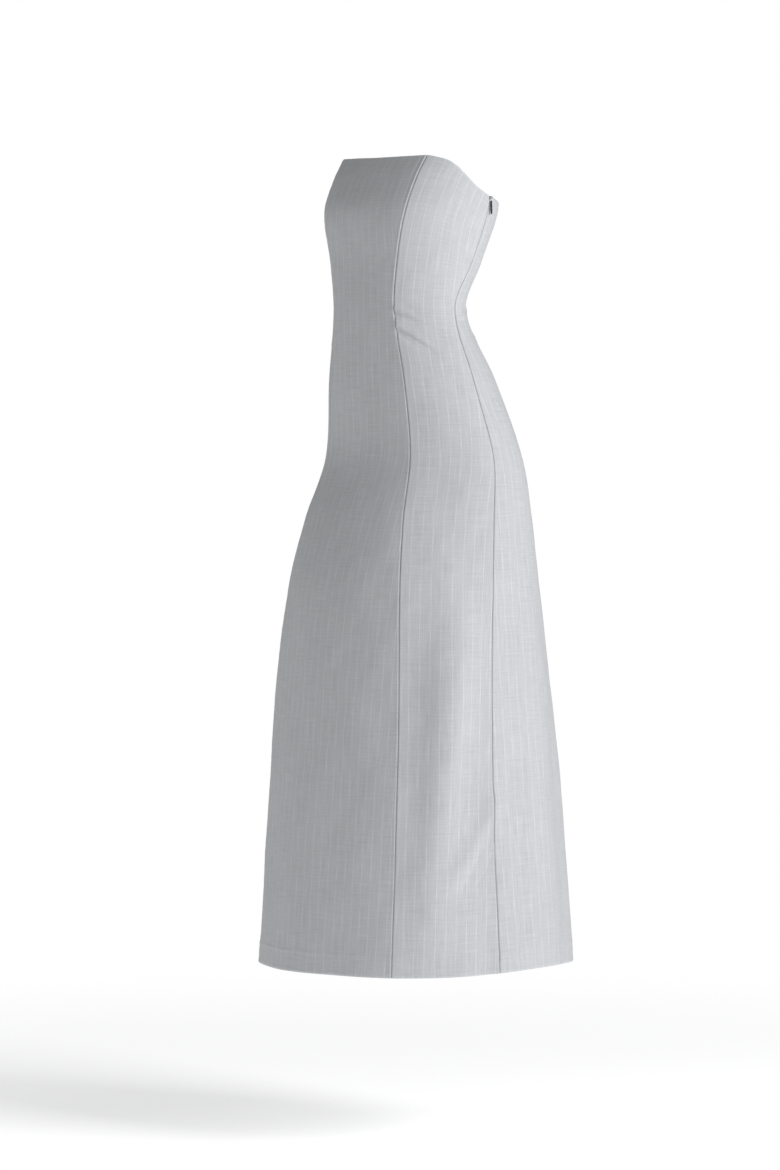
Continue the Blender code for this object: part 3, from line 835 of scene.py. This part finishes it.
def shape_slider(material):
    """The slider's body with a channel down each side, and the long loop that carries the pull outside."""
    face = -(LUG_REACH + CLOTH_WALL + SLIDER_SET_BACK)
    body = add_block("zip_slider_body", (face - 3.4, -4.0, -9.2), (face, 4.0, 1.8))
    cut_across(body, (-0.2, -3.4, -7.6))
    for height, factor in ((1.8, 0.9), (-3.4, 0.88), (-7.6, 0.72), (-9.2, 0.66)):
        widen_at(body, height, factor)
    select_where(body, "FACE", lambda place, normal: abs(normal.y) > 0.8)
    bpy.ops.mesh.inset(thickness=0.85 * MM, use_even_offset=True)
    bpy.ops.mesh.extrude_region_shrink_fatten(TRANSFORM_OT_shrink_fatten={"value": -0.9 * MM})
    finish_hard(body, 0.3, zip_place(tilted=True), material)
    deselect_all()
    bpy.ops.mesh.primitive_torus_add(
        location=(0.0, 0.0, 0.0),
        rotation=(math.radians(90), 0.0, 0.0),
        major_segments=32,
        minor_segments=12,
        major_radius=1.39 * MM,
        minor_radius=0.41 * MM,
    )
    loop = bpy.context.object
    loop.name = "zip_slider_loop"
    bpy.ops.object.transform_apply(location=True, rotation=True, scale=True)
    select_where(loop, "VERT", lambda place: place.x < -0.25)
    bpy.ops.transform.translate(value=(-4.3 * MM, 0.0, 0.0))
    finish_hard(loop, 0.02, zip_place(tilted=True), material)
    deselect_all()
    loop.select_set(True)
    body.select_set(True)
    bpy.context.view_layer.objects.active = body
    bpy.ops.object.join()
    return body


def shape_coil(material):
    """One tooth of the nylon coil, copied down the zip behind the side seam."""
    deselect_all()
    bpy.ops.mesh.primitive_torus_add(
        location=(0.0, 0.0, 0.0),
        major_segments=10,
        minor_segments=5,
        major_radius=1.55 * MM,
        minor_radius=0.36 * MM,
    )
    tooth = bpy.context.object
    tooth.name = "coil_teeth"
    bpy.ops.object.mode_set(mode="EDIT")
    bpy.ops.mesh.select_all(action="SELECT")
    bpy.ops.transform.resize(value=(0.5, 1.0, 1.0), center_override=(0.0, 0.0, 0.0))
    bpy.ops.object.mode_set(mode="OBJECT")
    bpy.ops.object.shade_smooth()
    tooth.data.materials.append(material)
    copies = [tooth]
    levels = np.arange(COIL_TOP, ZIP_END, -COIL_PITCH)
    angles = seam_angle(levels, "side_seam", 1)
    points = cloth_point(levels, angles)
    normals = cloth_normal(levels, angles)
    downs = unit(cloth_point(levels - 2.0, angles) - points)
    for place, normal, down in zip(points, normals, downs):
        copy = tooth
        if len(copies) < len(levels):
            copy = tooth.copy()
            copy.data = tooth.data.copy()
            bpy.context.scene.collection.objects.link(copy)
            copies.append(copy)
        out, low = Vector(normal), Vector(down)
        round_figure = low.cross(out).normalized()
        matrix = Matrix((out, round_figure, -low)).transposed().to_4x4()
        matrix.translation = (Vector(place) - out * COIL_BEHIND) * MM
        copy.matrix_world = matrix
    deselect_all()
    for copy in copies:
        copy.select_set(True)
    bpy.context.view_layer.objects.active = tooth
    bpy.ops.object.join()
    bpy.ops.object.transform_apply(location=True, rotation=True, scale=True)
    return tooth


class ClothSettings(bpy.types.PropertyGroup):
    """Sizes and colours of the suiting."""

    thickness: bpy.props.FloatProperty(
        name="Cloth thickness",
        description="Thickness of one layer of the cloth",
        default=0.0009,
        min=0.0004,
        max=0.0015,
        precision=4,
        unit="LENGTH",
    )
    allowance: bpy.props.FloatProperty(
        name="Seam allowance",
        description="Width of the pressed seam allowances inside",
        default=0.012,
        min=0.006,
        max=0.02,
        precision=4,
        unit="LENGTH",
    )
    stripe_pitch: bpy.props.FloatProperty(
        name="Stripe pitch",
        description="Distance from one pinstripe to the next",
        default=0.0155,
        min=0.005,
        max=0.05,
        precision=4,
        unit="LENGTH",
    )
    stripe_width: bpy.props.FloatProperty(
        name="Stripe width",
        description="Width of a pinstripe",
        default=0.0012,
        min=0.0004,
        max=0.004,
        precision=4,
        unit="LENGTH",
    )
    stripe_strength: bpy.props.FloatProperty(
        name="Stripe strength",
        description="How clearly the pinstripes show",
        default=0.42,
        min=0.0,
        max=1.0,
        subtype="FACTOR",
    )
    ground: bpy.props.FloatVectorProperty(
        name="Ground colour",
        description="Colour of the cloth between its stripes",
        default=(0.50, 0.51, 0.525),
        size=3,
        min=0.0,
        max=1.0,
        subtype="COLOR",
    )
    stripe: bpy.props.FloatVectorProperty(
        name="Stripe colour",
        description="Colour of the pinstripes",
        default=(0.70, 0.71, 0.725),
        size=3,
        min=0.0,
        max=1.0,
        subtype="COLOR",
    )


class ZipSettings(bpy.types.PropertyGroup):
    """Colours of the zip."""

    tape_colour: bpy.props.FloatVectorProperty(
        name="Tape colour",
        description="Colour of the woven tape and its coil",
        default=(0.40, 0.41, 0.43),
        size=3,
        min=0.0,
        max=1.0,
        subtype="COLOR",
    )
    metal_colour: bpy.props.FloatVectorProperty(
        name="Metal colour",
        description="Colour of the slider and the pull tab",
        default=(0.022, 0.022, 0.025),
        size=3,
        min=0.0,
        max=1.0,
        subtype="COLOR",
    )


class StudioSettings(bpy.types.PropertyGroup):
    """Sizes and strengths of the studio."""

    floor_height: bpy.props.FloatProperty(
        name="Floor height",
        description="Height of the floor below the dress's origin",
        default=-1.37,
        min=-3.0,
        max=-1.15,
        unit="LENGTH",
    )
    key_power: bpy.props.FloatProperty(
        name="Key light",
        description="Power of the large light on the dress's left",
        default=114.0,
        min=0.0,
        max=1000.0,
        unit="POWER",
    )
    fill_power: bpy.props.FloatProperty(
        name="Fill light",
        description="Power of the soft light in front",
        default=32.0,
        min=0.0,
        max=1000.0,
        unit="POWER",
    )
    room_light: bpy.props.FloatProperty(
        name="Room light",
        description="Brightness of the light that comes from all round",
        default=0.21,
        min=0.0,
        max=5.0,
    )


class DRESS_OT_cloth_panels(bpy.types.Operator):
    """Builds the five cloth panels on the part's surface"""

    bl_idname = "dress.cloth_panels"
    bl_label = "Cloth panels"

    def execute(self, context):
        settings = context.scene.dress_cloth
        material = suiting_material(settings)
        for panel in PANELS:
            item = build_panel(panel, settings, material)
            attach(item, "dress")
            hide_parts(panel.node)
        return {"FINISHED"}


class DRESS_OT_zip_tape(bpy.types.Operator):
    """Finishes the zip's tape and adds the coil's teeth"""

    bl_idname = "dress.zip_tape"
    bl_label = "Zip tape and coil"

    def execute(self, context):
        settings = context.scene.dress_zip
        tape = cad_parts["zip_tape"]
        tape.data.materials.clear()
        tape.data.materials.append(tape_material(settings))
        teeth = shape_coil(coil_material(settings))
        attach(teeth, "dress")
        return {"FINISHED"}


class DRESS_OT_zip_slider(bpy.types.Operator):
    """Models the slider behind the side seam and its loop"""

    bl_idname = "dress.zip_slider"
    bl_label = "Zip slider"

    def execute(self, context):
        slider = shape_slider(enamel_material(context.scene.dress_zip))
        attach(slider, "dress")
        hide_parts("zip_slider")
        return {"FINISHED"}


class DRESS_OT_zip_pull(bpy.types.Operator):
    """Models the pull tab that hangs from the slider"""

    bl_idname = "dress.zip_pull"
    bl_label = "Zip pull"

    def execute(self, context):
        pull = shape_pull(enamel_material(context.scene.dress_zip))
        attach(pull, "pull_tab")
        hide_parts("zip_pull")
        return {"FINISHED"}


# The camera, where the photograph fits the part: its turn round the dress, its distance and its height
CAMERA_AZIMUTH = math.radians(49.0)
CAMERA_DISTANCE = 8.0
CAMERA_ASIDE = -0.031
CAMERA_HEIGHT = -0.2773
CAMERA_AIM_HEIGHT = -0.5511
CAMERA_LENS = 166.3


def camera_place(distance, height):
    """A point straight behind the camera's centre line, at a distance from the dress's axis."""
    sine, cosine = math.sin(CAMERA_AZIMUTH), math.cos(CAMERA_AZIMUTH)
    x = distance * sine + CAMERA_ASIDE * cosine
    y = -distance * cosine + CAMERA_ASIDE * sine
    return Vector((x, y, height))


def add_camera():
    place = camera_place(CAMERA_DISTANCE, CAMERA_HEIGHT)
    aim = camera_place(0.0, CAMERA_AIM_HEIGHT)
    bpy.ops.object.camera_add(location=place)
    camera = bpy.context.object
    camera.rotation_euler = (aim - place).to_track_quat("-Z", "Y").to_euler()
    camera.data.sensor_width = 36.0
    camera.data.lens = CAMERA_LENS
    camera.data.clip_end = 60.0
    bpy.context.scene.camera = camera


def add_soft_light(name, azimuth, distance, height, size, power):
    """A square light at a turn round the dress, aimed at its middle."""
    turn = math.radians(azimuth)
    place = Vector((distance * math.sin(turn), -distance * math.cos(turn), height))
    bpy.ops.object.light_add(type="AREA", location=place)
    light = bpy.context.object
    light.name = name
    light.rotation_euler = (Vector((0.0, 0.0, -0.5)) - place).to_track_quat("-Z", "Y").to_euler()
    light.data.shape = "SQUARE"
    light.data.size = size
    light.data.energy = power
    return light


def floor_material():
    """Matt white near the dress, that fades to the same white as the room further out."""
    material, tree, shader = new_material("pale_floor")
    place = add_node(tree, "ShaderNodeTexCoord").outputs["Object"]
    away = add_node(tree, "ShaderNodeVectorMath", operation="LENGTH")
    tree.links.new(place, away.inputs[0])
    share = ranged(tree, away.outputs["Value"], 0.5, 2.4, 0.0, 1.0, "SMOOTHSTEP")
    shader.inputs["Base Color"].default_value = (0.93, 0.93, 0.93, 1.0)
    shader.inputs["Roughness"].default_value = 0.9
    shader.inputs["Specular IOR Level"].default_value = 0.1
    shader.inputs["Emission Color"].default_value = (1.0, 1.0, 1.0, 1.0)
    shader.inputs["Emission Strength"].default_value = 0.5
    glow = add_node(tree, "ShaderNodeEmission")
    glow.inputs["Color"].default_value = (1.0, 1.0, 1.0, 1.0)
    mix = add_node(tree, "ShaderNodeMixShader")
    tree.links.new(share, mix.inputs[0])
    tree.links.new(shader.outputs[0], mix.inputs[1])
    tree.links.new(glow.outputs[0], mix.inputs[2])
    tree.links.new(mix.outputs[0], tree.nodes["Material Output"].inputs["Surface"])
    return material


def add_floor(height):
    deselect_all()
    bpy.ops.mesh.primitive_circle_add(vertices=96, radius=6.0, fill_type="NGON", location=(0.0, 0.0, height))
    floor = bpy.context.object
    floor.name = "studio_floor"
    floor.data.materials.append(floor_material())
    return floor


def light_room(brightness):
    """A white room, that lights the dress more softly than it looks."""
    world = bpy.data.worlds.new("white_room")
    bpy.context.scene.world = world
    world.use_nodes = True
    tree = world.node_tree
    tree.nodes.clear()
    seen = add_node(tree, "ShaderNodeBackground")
    seen.inputs["Color"].default_value = (1.0, 1.0, 1.0, 1.0)
    lit = add_node(tree, "ShaderNodeBackground")
    lit.inputs["Color"].default_value = (0.97, 0.98, 1.0, 1.0)
    lit.inputs["Strength"].default_value = brightness
    path = add_node(tree, "ShaderNodeLightPath")
    mix = add_node(tree, "ShaderNodeMixShader")
    output = add_node(tree, "ShaderNodeOutputWorld")
    tree.links.new(path.outputs["Is Camera Ray"], mix.inputs[0])
    tree.links.new(lit.outputs[0], mix.inputs[1])
    tree.links.new(seen.outputs[0], mix.inputs[2])
    tree.links.new(mix.outputs[0], output.inputs["Surface"])


class DRESS_OT_stage(bpy.types.Operator):
    """Adds the floor, the soft lights and the camera"""

    bl_idname = "dress.stage"
    bl_label = "Studio"

    def execute(self, context):
        settings = context.scene.dress_studio
        deselect_all()
        floor = add_floor(settings.floor_height)
        key = add_soft_light("key_light", 99.0, 3.5, 0.9, 1.6, settings.key_power)
        fill = add_soft_light("fill_light", -38.0, 4.5, 1.2, 2.6, settings.fill_power)
        light_room(settings.room_light)
        context.scene.view_settings.view_transform = "Standard"
        add_camera()
        return {"FINISHED"}


class DRESS_PT_sidebar(bpy.types.Panel):
    """Lists the dress's operators and settings in the 3D view's sidebar"""

    bl_idname = "DRESS_PT_sidebar"
    bl_label = "Dress"
    bl_space_type = "VIEW_3D"
    bl_region_type = "UI"
    bl_category = "Dress"

    def draw(self, context):
        scene = context.scene
        for group, operators in (
            (scene.dress_cloth, ("dress.cloth_panels",)),
            (scene.dress_zip, ("dress.zip_tape", "dress.zip_slider", "dress.zip_pull")),
            (scene.dress_studio, ("dress.stage",)),
        ):
            box = self.layout.box()
            for name in group.__annotations__:
                box.prop(group, name)
            for operator in operators:
                box.operator(operator)


CLASSES = (
    ClothSettings,
    ZipSettings,
    StudioSettings,
    DRESS_OT_cloth_panels,
    DRESS_OT_zip_tape,
    DRESS_OT_zip_slider,
    DRESS_OT_zip_pull,
    DRESS_OT_stage,
    DRESS_PT_sidebar,
)


def register():
    for item in CLASSES:
        bpy.utils.register_class(item)
    bpy.types.Scene.dress_cloth = bpy.props.PointerProperty(type=ClothSettings)
    bpy.types.Scene.dress_zip = bpy.props.PointerProperty(type=ZipSettings)
    bpy.types.Scene.dress_studio = bpy.props.PointerProperty(type=StudioSettings)


def unregister():
    for name in ("dress_cloth", "dress_zip", "dress_studio"):
        delattr(bpy.types.Scene, name)
    for item in reversed(CLASSES):
        bpy.utils.unregister_class(item)


def main():
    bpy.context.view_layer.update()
    register()
    bpy.ops.dress.cloth_panels()
    bpy.ops.dress.zip_tape()
    bpy.ops.dress.zip_slider()
    bpy.ops.dress.zip_pull()
    bpy.ops.dress.stage()


if __name__ == "__main__":
    main()
